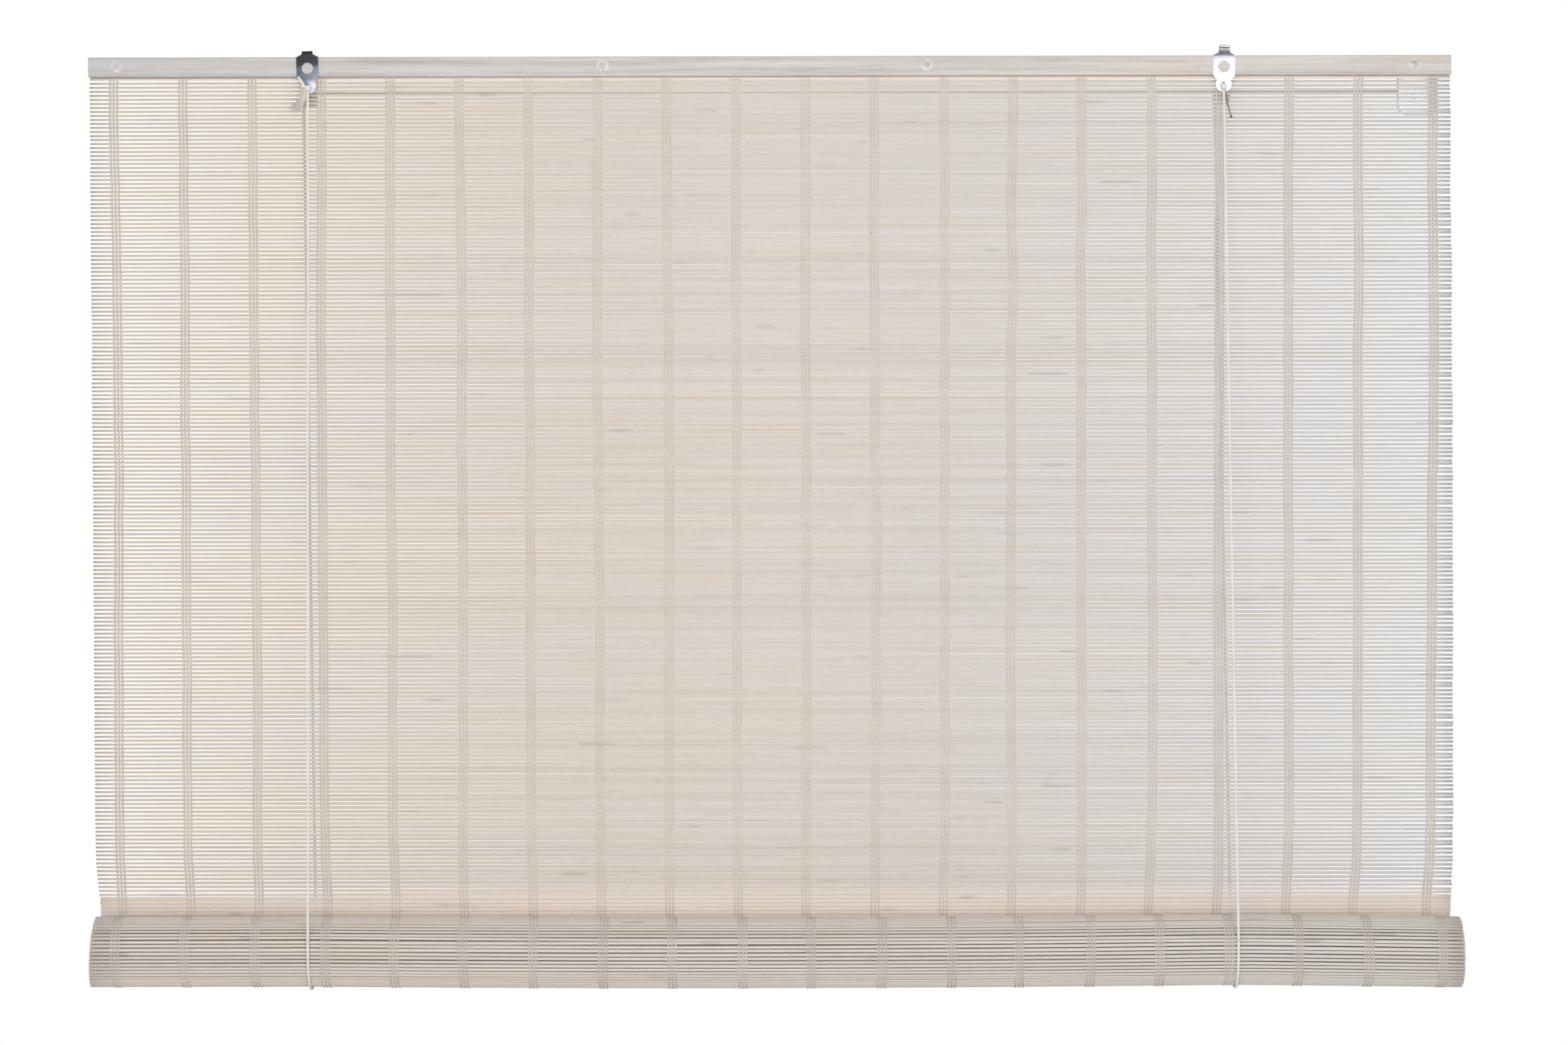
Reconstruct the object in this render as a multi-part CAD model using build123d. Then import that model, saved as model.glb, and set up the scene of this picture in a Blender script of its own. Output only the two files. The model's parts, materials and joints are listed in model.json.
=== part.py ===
from build123d import *
import os
from math import cos, pi, radians, sin, sqrt, tan

# A bamboo roll up blind, hung by two folded steel hangers and partly lowered.
# Millimetres. The origin is on the top of the headrail, halfway along it, in the plane of the mat.
# +X runs to the right of a person who faces the blind, +Z is up and the room side is -Y.

# Driving sizes of the headrail
rail_length = 1200.0
rail_height = 17.0
front_batten_thickness = 8.0
rear_batten_thickness = 12.0
rail_edge_chamfer = 0.8
clamp_clearance = 0.05

# Driving sizes of the slat mat
mat_inset = 1.0
slat_depth = 1.6
slat_pitch = 3.52
slat_crest = 1.9
web_thickness = 0.5
gap_height = 1.3
gap_slat_count = 4
mat_drop = 737.0
mat_lean = 2.1
mat_head = 14.0

# Driving sizes of the twined thread bands
band_count = 20
band_margin = 19.5
band_width = 8.6
band_shift = 2.6
band_thickness = 0.45
band_clearance = 0.02

# Driving sizes of the rolled part of the mat
roll_radius = 32.2
roll_band_thickness = 0.35
roll_band_facets = 15
roll_spread = 4.0
roll_shift = 4.0
turn_pitch = 3.2
turn_steps = 24
bottom_batten_width = 14.0
bottom_batten_thickness = 7.0
running_gap = 0.3

# Driving sizes of the lift cords
cord_diameter = 2.4
cord_gap = 0.3
cord_lead = 12.0
tail_diameter = 2.0
knot_radius = 2.28
tail_bend = 12.0
loop_left_shift = 1.0
loop_right_shift = 9.0
rear_run_drop = 4.0
cord_joint_gap = 0.15

# Driving sizes of the folded steel hangers
hanger_left_inset = 194.0
hanger_right_inset = 201.0
sheet = 1.0
plate_width = 19.4
plate_height = 17.5
shoulder_height = 2.6
tongue_width = 9.2
chamfer_height = 4.8
lobe_neck_width = 12.0
lobe_radius = 7.0
lobe_drop = 25.5
hanging_hole_radius = 5.0
hanging_hole_drop = 10.0
tie_hole_radius = 2.0
eye_radius = 1.7
left_tongue_rise = 5.4
right_tongue_rise = 9.2
bend_radius = 1.2
left_hanger_angle = -1.8
right_hanger_angle = 2.0
bridge_gap = 0.25
leg_width = 12.0
leg_gap = 0.1

# Driving sizes of the double pulleys
wheel_radius = 7.5
groove_radius = 5.7
groove_spacing = 3.8
wheel_width = 8.8
wheel_rim = 0.4
wheel_side_gap = 0.2
axle_radius = 1.6
axle_clearance = 0.06
rivet_head_radius = 3.0
rivet_head_thickness = 0.9
upset_radius = 2.4
run_drop = 13.5

# Driving sizes of the cord lock
lock_inset = 27.0
lock_length = 36.0
lock_height = 34.0
lock_corner_radius = 8.0
guide_offset = 5.0
lock_screw_spacing = 26.0
lock_screw_radius = 1.5
lock_screw_length = 12.0
lock_screw_head_radius = 2.85
lock_screw_head_height = 1.5
pin_head_thickness = 0.8
pawl_pivot_offset = 14.5
pawl_pivot_rise = 4.0
pawl_thickness = 7.0
pawl_hub_radius = 3.6
pawl_tip_drop = 7.0
pawl_heel_drop = 9.0
tail_length = 9.0

# Driving sizes of the domed tacks
tack_head_radius = 5.2
tack_head_height = 2.2
tack_shank_radius = 0.9
tack_length = 17.0
tack_drop = 8.0
tack_left_inset = 25.0
tack_right_inset = 32.0
tack_left_of_middle = 147.0
tack_right_of_middle = 138.0

# Places that follow from the driving sizes
cord_radius = cord_diameter / 2
slat_length = rail_length - 2 * mat_inset
band_pitch = (slat_length - 2 * band_margin) / (band_count - 1)
roll_length = slat_length + 2 * roll_spread
tack_places = (
    tack_left_inset - rail_length / 2,
    -tack_left_of_middle,
    tack_right_of_middle,
    rail_length / 2 - tack_right_inset,
)
hanger_left_x = hanger_left_inset - rail_length / 2
hanger_right_x = rail_length / 2 - hanger_right_inset
lock_x = rail_length / 2 - lock_inset
mat_front = -slat_depth / 2
mat_back = slat_depth / 2
batten_gap = mat_back + clamp_clearance
front_face = -batten_gap - front_batten_thickness
rear_face = batten_gap + rear_batten_thickness
band_reach = mat_back + band_clearance + band_thickness
axis_depth = -(band_reach + running_gap + roll_radius)
axis_drop = mat_drop + roll_radius
wheel_back = rear_face + leg_gap - wheel_side_gap
wheel_middle = wheel_back - wheel_width / 2
wheel_axis_z = -rail_height - run_drop - groove_radius
left_cord_y = wheel_middle - groove_spacing / 2
right_cord_y = wheel_middle + groove_spacing / 2
run_z = wheel_axis_z + groove_radius


def hung(drop, depth):
    """The y and z of a point this far below the headrail along the mat and this far behind it."""
    lean = radians(mat_lean) if drop > 0 else 0.0
    y = depth * cos(lean) + drop * sin(lean)
    z = -rail_height - drop * cos(lean) + depth * sin(lean)
    return (y, z)


def prism(points, x_low, x_high):
    """A solid with this y, z outline, between two places along X."""
    outline = Polyline(*[(x_low, y, z) for y, z in points], close=True)
    return extrude(make_face(outline), amount=x_high - x_low, dir=(1, 0, 0))


def cylinder_y(radius, x, z, y_low, y_high):
    """A cylinder along Y."""
    disc = Plane((x, y_low, z), z_dir=(0, 1, 0)) * Circle(radius)
    return extrude(disc, amount=y_high - y_low, dir=(0, 1, 0))


def plate_y(sketch_points, y_low, y_high):
    """A flat plate with this x, z outline, between two places along Y."""
    outline = Polyline(*[(x, y_low, z) for x, z in sketch_points], close=True)
    return extrude(make_face(outline), amount=y_high - y_low, dir=(0, 1, 0))


def tube(path, diameter):
    """A round cord along a path, with its length printed beside its volume."""
    start = path @ 0
    section = Plane(start, z_dir=path % 0) * Circle(diameter / 2)
    solid = sweep(section, path=path)
    share = solid.volume / (pi * diameter**2 / 4 * path.length)
    print(f"cord run {path.length:.1f} mm, volume over section times length {share:.4f}")
    return solid


parts = {}


# Headrail battens with edges eased and holes for the tacks
def batten(y_low, y_high, hole_radius):
    body = Pos(0, (y_low + y_high) / 2, -rail_height / 2) * Box(rail_length, y_high - y_low, rail_height)
    body = chamfer(body.edges().filter_by(Axis.X), rail_edge_chamfer)
    for x in tack_places:
        body -= cylinder_y(hole_radius, x, -tack_drop, front_face - 1, front_face + tack_length)
    return body


tack_hole = tack_shank_radius + clamp_clearance
parts["headrail_front_batten"] = batten(front_face, -batten_gap, tack_hole)
parts["headrail_rear_batten"] = batten(batten_gap, rear_face, tack_hole)


# Domed tacks, each a shallow cap on a pointed shank
def tack(x):
    cap_radius = (tack_head_radius**2 + tack_head_height**2) / (2 * tack_head_height)
    shank_end = tack_length - 3 * tack_shank_radius
    profile = Polyline(
        (tack_head_radius, 0),
        (tack_shank_radius, 0),
        (tack_shank_radius, shank_end),
        (0.0, tack_length),
        (0.0, -tack_head_height),
    )
    cap = RadiusArc((0.0, -tack_head_height), (tack_head_radius, 0), cap_radius)
    face = make_face(profile + cap)
    turned = revolve(face, Axis.Y)
    return Pos(x, front_face - clamp_clearance, -tack_drop) * turned


for n, x in enumerate(tack_places, 1):
    parts[f"headrail_tack_{n}"] = tack(x)


# Slat mat: one wall with flat crests in front, sharp ones behind and an open gap at every fourth valley
def valley(drop, side):
    return hung(drop, side * web_thickness / 2)


def crest(drop, side):
    return hung(drop, side * slat_depth / 2)


head_slats = int((mat_head + 1e-6) / slat_pitch)
hanging_slats = round(axis_drop / slat_pitch)
slat_drops = [i * slat_pitch + slat_pitch / 2 for i in range(-head_slats, hanging_slats)]


def mat_outline():
    front = []
    back = []
    for n, drop in enumerate(slat_drops):
        front += [crest(drop - slat_crest / 2, -1), crest(drop + slat_crest / 2, -1)]
        back.append(crest(drop, 1))
        if n < len(slat_drops) - 1:
            front.append(valley(drop + slat_pitch / 2, -1))
            back.append(valley(drop + slat_pitch / 2, 1))
    return front + back[::-1]


mat = prism(mat_outline(), -slat_length / 2, slat_length / 2)
gap_reach = band_pitch * (band_count - 1) / 2 - band_width / 2
gap_low = band_shift - gap_reach
gap_high = band_shift + gap_reach
gaps = []
for drop in slat_drops[head_slats:-1:gap_slat_count]:
    middle = drop + slat_pitch / 2
    corners = [hung(middle - gap_height / 2, -slat_depth), hung(middle + gap_height / 2, -slat_depth)]
    corners += [hung(middle + gap_height / 2, slat_depth), hung(middle - gap_height / 2, slat_depth)]
    gaps.append(prism(corners, gap_low, gap_high))
print(f"mat slats {len(slat_drops)}, open gaps {len(gaps)}")
mat = mat - gaps
for x in tack_places:
    mat -= cylinder_y(tack_hole, x, -tack_drop, mat_front - 1, mat_back + 1)
parts["slat_mat"] = mat


# Thread bands: each runs down the front of the mat, under its last slat and up the back
def band(x):
    inner = mat_back + band_clearance
    outer = inner + band_thickness
    top = running_gap
    low = slat_drops[-1] + slat_crest / 2 + band_clearance
    points = [hung(top, -outer), hung(low + band_thickness, -outer), hung(low + band_thickness, outer)]
    points += [hung(top, outer), hung(top, inner), hung(low, inner), hung(low, -inner), hung(top, -inner)]
    return prism(points, x - band_width / 2, x + band_width / 2)


band_places = [(n - (band_count - 1) / 2) * band_pitch + band_shift for n in range(band_count)]
parts["mat_thread_bands"] = Compound(children=[band(x) for x in band_places])


# The rolled part: a spiral strip with ridges around its outer turn
def roll_point(radius, angle):
    """A point at this distance from the roll's axis; the angle starts at the back and runs down and under."""
    return hung(axis_drop + radius * sin(angle), axis_depth + radius * cos(angle))


outer_radius = (roll_radius - roll_band_thickness) * cos(pi / roll_band_facets) - band_clearance
core_radius = sqrt(bottom_batten_width**2 + bottom_batten_thickness**2) / 2 + slat_depth
turns = (outer_radius - core_radius) / turn_pitch
outer_slats = round(2 * pi * outer_radius / slat_pitch)


def spiral(angle):
    """The radius of the strip's outer face at this angle along it."""
    return outer_radius - turn_pitch * angle / (2 * pi)


def roll_outline():
    outside = []
    step = 2 * pi / outer_slats
    ridge_share = slat_crest / slat_pitch
    groove = (slat_depth - web_thickness) / 2
    for n in range(outer_slats):
        start = n * step
        end = start + step * ridge_share
        low = start + step * (1 + ridge_share) / 2
        outside += [roll_point(spiral(start), start), roll_point(spiral(end), end)]
        outside.append(roll_point(spiral(low) - groove, low))
    steps = int((turns - 1) * turn_steps)
    for n in range(steps + 1):
        angle = 2 * pi * (1 + n / turn_steps)
        outside.append(roll_point(spiral(angle), angle))
    inside = []
    for n in range(steps + turn_steps + 1):
        angle = 2 * pi * n / turn_steps
        inside.append(roll_point(spiral(angle) - slat_depth, angle))
    return outside + inside[::-1]


roll_low = roll_shift - roll_length / 2
roll_high = roll_shift + roll_length / 2
parts["mat_roll"] = prism(roll_outline(), roll_low, roll_high)


# Thread bands around the outer turn of the roll
def roll_band(x):
    bulge = 1 / cos(pi / roll_band_facets)
    inner = []
    outer = []
    for n in range(roll_band_facets):
        angle = 2 * pi * n / roll_band_facets
        radius = (spiral(angle) + band_clearance) * bulge
        inner.append(roll_point(radius, angle))
        outer.append(roll_point(radius + roll_band_thickness, angle))
    return prism(outer + inner[::-1], x - band_width / 2, x + band_width / 2)


parts["roll_thread_bands"] = Compound(children=[roll_band(x + roll_shift) for x in band_places])

# The flat batten at the heart of the roll
half_width = bottom_batten_width / 2
half_thickness = bottom_batten_thickness / 2
batten_points = []
for across, up in ((-1, -1), (1, -1), (1, 1), (-1, 1)):
    batten_points.append(hung(axis_drop + up * half_width, axis_depth + across * half_thickness))
bottom_batten = prism(batten_points, roll_low, roll_high)
parts["bottom_batten"] = chamfer(bottom_batten.edges().filter_by(Axis.X), rail_edge_chamfer)


# Folded steel hangers
def hanger(x, tongue_rise, angle):
    """One strip: front plate with lobe, tongue folded into an eye, bridge over the rail and a rear leg."""
    out = front_face - clamp_clearance - sheet
    back = front_face - clamp_clearance
    half = plate_width / 2
    neck = lobe_neck_width / 2
    tongue = tongue_width / 2
    notch = -plate_height - chamfer_height
    right_side = [(tongue, shoulder_height), (half, 0.0), (half, -plate_height), (neck, notch)]
    left_side = [(-px, pz) for px, pz in right_side[::-1]]
    outline = right_side + [(neck, -lobe_drop), (-neck, -lobe_drop)] + left_side
    plate = plate_y(outline, out, back)
    plate += cylinder_y(lobe_radius, 0, -lobe_drop, out, back)
    plate -= cylinder_y(hanging_hole_radius, 0, -hanging_hole_drop, out - 1, back + 1)
    plate -= cylinder_y(tie_hole_radius, 0, -lobe_drop, out - 1, back + 1)

    # the strip's side view, as the line of its middle
    eye = eye_radius + sheet / 2
    front_line = out + sheet / 2
    arch_z = tongue_rise - eye - sheet / 2
    bridge_z = bridge_gap + sheet / 2
    leg_line = rear_face + leg_gap + sheet / 2
    eye_back = front_line + 2 * eye
    up = Line((0, front_line, 0), (0, front_line, arch_z))
    arch = ThreePointArc((0, front_line, arch_z), (0, front_line + eye, arch_z + eye), (0, eye_back, arch_z))
    rest = FilletPolyline(
        (0, eye_back, arch_z),
        (0, eye_back, bridge_z),
        (0, leg_line, bridge_z),
        (0, leg_line, wheel_axis_z),
        radius=bend_radius,
    )
    middle = Wire(up.edges() + arch.edges() + rest.edges())
    section = Plane((0, front_line, 0), z_dir=(0, 0, 1)) * Rectangle(tongue_width, sheet)
    strip = sweep(section, path=middle)
    foot = cylinder_y(leg_width / 2, 0, wheel_axis_z, leg_line - sheet / 2, leg_line + sheet / 2)
    whole = plate + strip + foot
    whole -= cylinder_y(axle_radius, 0, wheel_axis_z, leg_line - sheet, leg_line + sheet)
    return Pos(x, 0, wheel_axis_z) * Rot(0, angle, 0) * Pos(0, 0, -wheel_axis_z) * whole


parts["hanger_left"] = hanger(hanger_left_x, left_tongue_rise, left_hanger_angle)
parts["hanger_right"] = hanger(hanger_right_x, right_tongue_rise, right_hanger_angle)


# Double grooved pulley wheels on shouldered rivets
def wheel(x):
    bore = axle_radius + axle_clearance
    floor = groove_radius - cord_radius - cord_gap
    floor_half = cord_radius + cord_gap
    mouth_half = groove_spacing / 2 - wheel_rim / 2
    half = wheel_width / 2
    profile = [(bore, -half), (wheel_radius - wheel_rim, -half), (wheel_radius, wheel_rim - half)]
    for middle in (-groove_spacing / 2, groove_spacing / 2):
        profile += [(wheel_radius, middle - mouth_half), (floor, middle - floor_half)]
        profile += [(floor, middle + floor_half), (wheel_radius, middle + mouth_half)]
    profile += [(wheel_radius, half - wheel_rim), (wheel_radius - wheel_rim, half), (bore, half)]
    face = make_face(Polyline(*profile, close=True))
    return Pos(x, wheel_middle, wheel_axis_z) * revolve(face, Axis.Y)


def axle(x, y_end):
    """A shouldered rivet: a head in front of the wheel and a shank upset behind the sheet."""
    head_back = wheel_middle - wheel_width / 2 - wheel_side_gap / 2
    pin = cylinder_y(axle_radius, x, wheel_axis_z, head_back, y_end)
    pin += cylinder_y(rivet_head_radius, x, wheel_axis_z, head_back - rivet_head_thickness, head_back)
    pin += cylinder_y(upset_radius, x, wheel_axis_z, y_end, y_end + rivet_head_thickness)
    return pin


leg_back = rear_face + leg_gap + sheet
for side, x in (("left", hanger_left_x), ("right", hanger_right_x)):
    parts[f"pulley_wheel_{side}"] = wheel(x)
    parts[f"pulley_rivet_{side}"] = axle(x, leg_back)

# Cord lock under the right end of the rear batten: a folded saddle, a guide wheel and a pawl
lock_top = -rail_height - clamp_clearance
lock_front = wheel_middle - wheel_width / 2 - wheel_side_gap
lock_back = wheel_middle + wheel_width / 2 + wheel_side_gap
lock_low = lock_x - lock_length / 2
lock_high = lock_x + lock_length / 2
saddle_points = [
    (lock_front - sheet, lock_top),
    (lock_back + sheet, lock_top),
    (lock_back + sheet, lock_top - lock_height),
    (lock_back, lock_top - lock_height),
    (lock_back, lock_top - sheet),
    (lock_front, lock_top - sheet),
    (lock_front, lock_top - lock_height),
    (lock_front - sheet, lock_top - lock_height),
]
saddle = prism(saddle_points, lock_low, lock_high)
lower_corners = saddle.edges().filter_by(Axis.Y).sort_by(Axis.Z)[:4]
saddle = fillet(lower_corners, lock_corner_radius)
guide_x = lock_x - guide_offset
pawl_x = guide_x + pawl_pivot_offset
pawl_z = wheel_axis_z + pawl_pivot_rise
saddle -= cylinder_y(axle_radius, guide_x, wheel_axis_z, lock_front - 2, lock_back + 2)
saddle -= cylinder_y(axle_radius, pawl_x, pawl_z, lock_front - 2, lock_back + 2)
screw_places = (lock_x - lock_screw_spacing / 2, lock_x + lock_screw_spacing / 2)
screw_y = (lock_front + lock_back) / 2
rear_batten = parts["headrail_rear_batten"]
screw_head_z = lock_top - sheet - lock_screw_head_height / 2
for side, x in zip(("left", "right"), screw_places):
    hole_length = 2 * lock_screw_length + 1
    screw_hole = Pos(x, screw_y, lock_top) * Cylinder(lock_screw_radius + clamp_clearance, hole_length)
    saddle -= screw_hole
    rear_batten -= screw_hole
    shank_length = lock_screw_length + lock_screw_head_height / 2
    shank = Pos(x, screw_y, screw_head_z + shank_length / 2) * Cylinder(lock_screw_radius, shank_length)
    head = Pos(x, screw_y, screw_head_z) * Cylinder(lock_screw_head_radius, lock_screw_head_height)
    parts[f"cord_lock_screw_{side}"] = shank + head
parts["headrail_rear_batten"] = rear_batten
parts["cord_lock_saddle"] = saddle
parts["cord_lock_wheel"] = wheel(guide_x)


def lock_pin(x, z):
    """A plain pin riveted over outside both cheeks of the saddle."""
    front = lock_front - sheet
    back = lock_back + sheet
    pin = cylinder_y(axle_radius, x, z, front, back)
    pin += cylinder_y(upset_radius, x, z, front - pin_head_thickness, front)
    pin += cylinder_y(upset_radius, x, z, back, back + pin_head_thickness)
    return pin


parts["cord_lock_wheel_pin"] = lock_pin(guide_x, wheel_axis_z)
parts["cord_lock_pawl_pin"] = lock_pin(pawl_x, pawl_z)
pawl_low = screw_y - pawl_thickness / 2
pawl_high = screw_y + pawl_thickness / 2
pawl_reach = pawl_x - guide_x - groove_radius - cord_radius - cord_gap
pawl_outline = [
    (pawl_x + pawl_hub_radius, pawl_z),
    (pawl_x - pawl_hub_radius, pawl_z),
    (pawl_x - pawl_reach, pawl_z - pawl_tip_drop),
    (pawl_x, pawl_z - pawl_heel_drop),
]
pawl = plate_y(pawl_outline, pawl_low, pawl_high)
pawl += cylinder_y(pawl_hub_radius, pawl_x, pawl_z, pawl_low, pawl_high)
pawl -= cylinder_y(axle_radius + axle_clearance, pawl_x, pawl_z, pawl_low - 1, pawl_high + 1)
parts["cord_lock_pawl"] = pawl

# Lift cords: front run, loop under the roll, rear run and run along the rail
loop_front = axis_depth - roll_radius - cord_gap - cord_radius
loop_back = band_reach + cord_gap + cord_radius
loop_radius = axis_depth - loop_front
loop_shift = loop_back - (axis_depth + loop_radius)


def at(x, drop, depth):
    y, z = hung(drop, depth)
    return Vector(x, y, z)


def cord_loop(x):
    slant = loop_radius * sin(pi / 4)
    start = at(x, axis_drop, loop_front)
    under = at(x, axis_drop + loop_radius, axis_depth)
    behind = at(x, axis_drop + loop_radius, axis_depth + loop_shift)
    end = at(x, axis_drop, loop_back)
    runs = [
        Line(at(x, axis_drop - cord_lead, loop_front), start),
        ThreePointArc(start, at(x, axis_drop + slant, axis_depth - slant), under),
        Line(under, behind),
        ThreePointArc(behind, at(x, axis_drop + slant, axis_depth + loop_shift + slant), end),
        Line(end, at(x, axis_drop - cord_lead, loop_back)),
    ]
    return tube(Wire([run.edge() for run in runs]), cord_diameter)


def short_of(start, end, gap):
    """The point that lies this far before the end of a straight line."""
    return end - (end - start).normalized() * gap


def straight(start, end):
    return tube(Wire(Line(start, end).edges()), cord_diameter)


tie_front = front_face - clamp_clearance - sheet
knot_y = tie_front - knot_radius - clamp_clearance
tail_points = ((0, 0, 0), (-7.0, 0, -8.0), (-9.5, 0.5, -19.5))
tail_path = FilletPolyline(*tail_points, radius=tail_bend)
knot_with_tail = tube(Wire(tail_path.edges()), tail_diameter) + Sphere(knot_radius)
tie_height = -lobe_drop - tie_hole_radius - wheel_axis_z
hangers = (
    ("left", hanger_left_x, left_hanger_angle, loop_left_shift, left_cord_y),
    ("right", hanger_right_x, right_hanger_angle, loop_right_shift, right_cord_y),
)
for side, x, angle, loop_offset, run_y in hangers:
    loop_x = x + loop_offset
    knot_at = Vector(x + tie_height * tan(radians(angle)), knot_y, -lobe_drop - tie_hole_radius)
    knot = knot_with_tail if side == "left" else mirror(knot_with_tail, about=Plane.YZ)
    parts[f"cord_knot_{side}"] = Pos(knot_at) * knot
    loop_start = at(loop_x, axis_drop - cord_lead, loop_front)
    front_top = knot_at + (loop_start - knot_at).normalized() * (knot_radius + cord_gap * 2)
    parts[f"lift_cord_{side}_front"] = straight(front_top, short_of(front_top, loop_start, cord_joint_gap))
    parts[f"lift_cord_{side}_loop"] = cord_loop(loop_x)
    wheel_side = Vector(x - groove_radius, run_y, wheel_axis_z)
    loop_end = at(loop_x, axis_drop - cord_lead, loop_back)
    rear_top = wheel_side - Vector(0, 0, rear_run_drop)
    parts[f"lift_cord_{side}_rear"] = straight(short_of(rear_top, loop_end, cord_joint_gap), rear_top)
    rise = Line(rear_top + Vector(0, 0, cord_joint_gap), wheel_side)
    over_wheel = ThreePointArc(
        wheel_side,
        Vector(x - groove_radius * cos(pi / 4), run_y, wheel_axis_z + groove_radius * sin(pi / 4)),
        Vector(x, run_y, run_z),
    )
    along = Line(Vector(x, run_y, run_z), Vector(guide_x, run_y, run_z))
    over_guide = ThreePointArc(
        Vector(guide_x, run_y, run_z),
        Vector(guide_x + groove_radius * cos(pi / 4), run_y, wheel_axis_z + groove_radius * sin(pi / 4)),
        Vector(guide_x + groove_radius, run_y, wheel_axis_z),
    )
    end = Line(
        Vector(guide_x + groove_radius, run_y, wheel_axis_z),
        Vector(guide_x + groove_radius, run_y, wheel_axis_z - tail_length),
    )
    route = Wire(rise.edges() + over_wheel.edges() + along.edges() + over_guide.edges() + end.edges())
    parts[f"lift_cord_{side}_rail_run"] = tube(route, cord_diameter)

os.makedirs("parts", exist_ok=True)
for name, shape in parts.items():
    export_step(shape, f"parts/{name}.step")
axis_y, axis_z = hung(axis_drop, axis_depth)
print(f"{len(parts)} nodes, roll axis at y {axis_y:.4f} z {axis_z:.4f}")
print(f"turns {turns:.2f}, outer slats {outer_slats}, loop radius {loop_radius:.2f}")
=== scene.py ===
import json
from math import cos, pi, radians, sin, tan

import bpy
import numpy as np
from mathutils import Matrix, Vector


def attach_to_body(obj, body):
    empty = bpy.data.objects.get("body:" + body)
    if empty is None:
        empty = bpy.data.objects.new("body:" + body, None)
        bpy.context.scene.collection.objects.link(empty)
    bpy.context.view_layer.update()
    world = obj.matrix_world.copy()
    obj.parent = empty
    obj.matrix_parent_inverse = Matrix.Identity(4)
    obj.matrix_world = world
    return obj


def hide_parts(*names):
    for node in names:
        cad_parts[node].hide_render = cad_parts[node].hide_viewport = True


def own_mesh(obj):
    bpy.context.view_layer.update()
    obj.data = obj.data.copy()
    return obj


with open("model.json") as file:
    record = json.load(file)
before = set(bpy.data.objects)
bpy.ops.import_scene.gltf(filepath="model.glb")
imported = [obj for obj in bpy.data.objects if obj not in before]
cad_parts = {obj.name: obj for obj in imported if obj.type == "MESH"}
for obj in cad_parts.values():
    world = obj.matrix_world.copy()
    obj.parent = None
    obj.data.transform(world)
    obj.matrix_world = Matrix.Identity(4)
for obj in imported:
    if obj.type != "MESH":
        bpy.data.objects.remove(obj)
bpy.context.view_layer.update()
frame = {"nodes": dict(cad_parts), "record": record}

rng = np.random.default_rng(7)

# Sizes and places in metres, the same as in the source of the parts
RAIL_LENGTH = 1.2
RAIL_END = RAIL_LENGTH / 2
RAIL_HEIGHT = 0.017
FRONT_FACE = -0.00885
SLAT_PITCH = 0.00352
MAT_DROP = 0.737
MAT_LEAN = radians(2.1)
BAND_COUNT = 20
BAND_PITCH = 0.061
BAND_REACH = 0.00127
ROLL_RADIUS = 0.0322
ROLL_SHIFT = 0.004
TURN_PITCH = 0.0032
RUNNING_GAP = 0.0003
AXIS_DROP = MAT_DROP + ROLL_RADIUS
AXIS_DEPTH = -(BAND_REACH + RUNNING_GAP + ROLL_RADIUS)
CORD_RADIUS = 0.0012
CORD_GAP = 0.0003
CORD_LEAD = 0.012
REAR_RUN_DROP = 0.004
GROOVE_RADIUS = 0.0057
WHEEL_Z = -0.0362
GUIDE_X = 0.568
LOBE_DROP = 0.0255
TIE_RADIUS = 0.002
KNOT_Y = -0.01225

# The way up along the leaning mat
UP = (0.0, -sin(MAT_LEAN), cos(MAT_LEAN))

# Each hanger: its side, its x, its turn in degrees, and its cord's x at the loop and y behind the mat
HANGERS = (
    ("left", -0.406, -1.8, -0.405, 0.00645),
    ("right", 0.399, 2.0, 0.408, 0.01025),
)

# A slat: its thickness and section, the rings along it, and how many lie inside the rail
SLAT_DEPTH = 0.0015
SLAT_SIDES = 8
SLAT_RINGS = 41
CORNER_POWER = 0.75
HEAD_SLATS = 2

# The ends of the slats at several drops below the rail, and how they stray
LEFT_END_DROPS = (0.66, 0.69, 0.71, 0.735)
LEFT_ENDS = (-0.5998, -0.5994, -0.5979, -0.5956)
RIGHT_END_DROPS = (0.0, 0.35, 0.69, 0.735)
RIGHT_ENDS = (0.6003, 0.6034, 0.6050, 0.6027)
END_STRAY = 0.0004
END_STRAY_OUT = 0.0002
END_STRAY_MOST = 0.001
END_GROUP = 9
END_GROUP_SHARE = 0.6
END_LOOSE_SHARE = 0.5

# At the right end the slats lean together in pairs
PINCH = 0.0005
PINCH_START = 0.56
PINCH_LENGTH = 0.04
PINCH_RANGE = (-0.3, 1.0)
PINCH_SEED = 11

# The gaps of light between the slats: wide at both ends of the blind and nearly closed in its middle
GAP_MIDDLE = 0.0001
GAP_LEFT = 0.0017
GAP_LEFT_START = -0.08
GAP_LEFT_POWER = 1.5
GAP_RIGHT = 0.00122
GAP_RIGHT_START = 0.1
GAP_RIGHT_POWER = 1.4
SLAT_LEAST = 0.0017
SLAT_VARIES = 0.014
SLAT_SWELL = 0.012
SLAT_DRIFT = 0.0003
SLAT_SWAY = 0.00005

# Below this drop the slats are pressed together, and keep only a share of their shifts
CLOSED_DROP = 0.7235
CLOSED_SHIFT = 0.2

# Between these drops, just above the roll, the slats go over from washed tones to the top one, which is 1:
# their own peach, brightened with painted light over the roll's shade
PAINTED_LIGHT_DROP = 0.714
PAINTED_LIGHT_FULL_DROP = 0.7325
WASHED_TONE = 0.78
SEED_MOST = 90

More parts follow.
